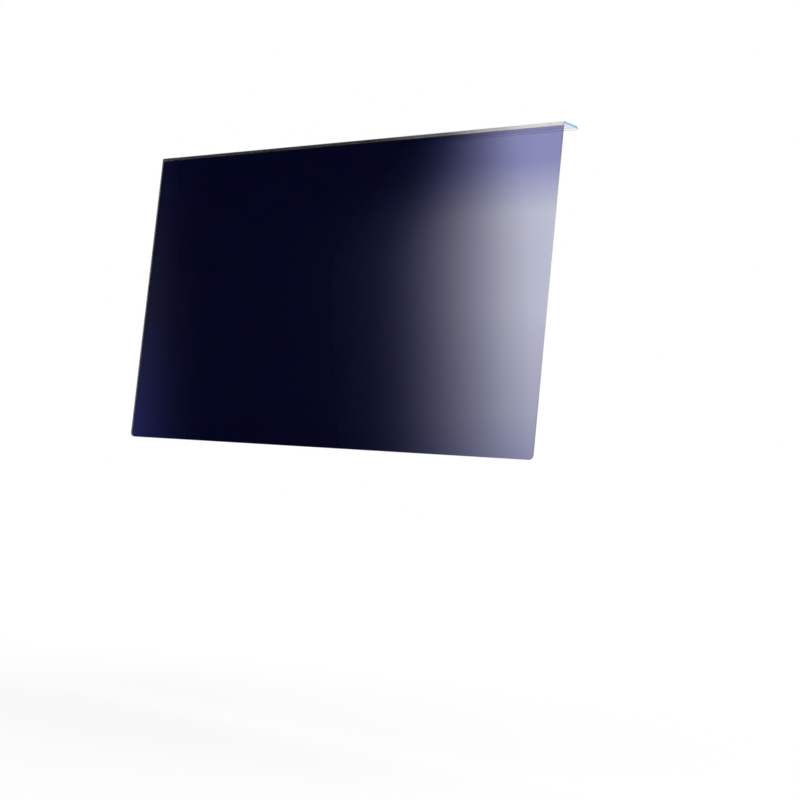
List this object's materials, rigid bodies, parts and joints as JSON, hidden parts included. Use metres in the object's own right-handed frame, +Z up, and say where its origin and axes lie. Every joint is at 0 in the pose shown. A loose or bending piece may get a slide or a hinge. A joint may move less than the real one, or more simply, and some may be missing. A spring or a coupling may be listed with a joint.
{
  "type": "monitor privacy filter",
  "caption": "Hang-on privacy filter for a desktop monitor: a clear acrylic sheet bent into a lip that hooks over the screen's top edge, backed by a dark blue privacy film.",
  "frame": {"origin": "middle of the flat underside of the lip, where the filter rests on the top of the monitor", "axes": "+Z up as hung, -Y out of the front of the panel towards the viewer, +X along the panel's width to the viewer's right"},
  "size_m": [0.54, 0.029, 0.3318],
  "materials": {
    "clear_acrylic": "gloss",
    "privacy_film": "satin"
  },
  "bodies": {
    "root": {"acrylic_panel": "clear_acrylic", "privacy_film": "privacy_film"}
  },
  "joints": []
}
